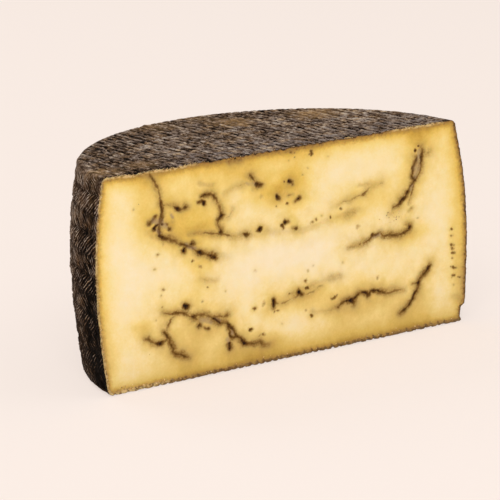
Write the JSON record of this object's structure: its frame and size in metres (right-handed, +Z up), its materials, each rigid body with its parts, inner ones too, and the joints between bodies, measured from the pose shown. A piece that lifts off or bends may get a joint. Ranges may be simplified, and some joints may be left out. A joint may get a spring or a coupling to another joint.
{
  "type": "sheep milk cheese half wheel",
  "caption": "Half of a small pressed sheep milk cheese wheel, cut through its axis, with a plaited herringbone rind on the side and ribbed flat faces.",
  "frame": {"origin": "bottom centre of the half wheel's bounding box, on the surface it rests on", "axes": "+X along the cut, +Y from the cut face into the half, so that the cut face looks towards -Y, +Z up"},
  "size_m": [0.195, 0.0974, 0.096],
  "materials": {
    "rind": "matte, dry moulded rind",
    "paste": "satin, slightly oily cut paste"
  },
  "bodies": {
    "root": {"cheese_half": "rind"}
  },
  "joints": []
}
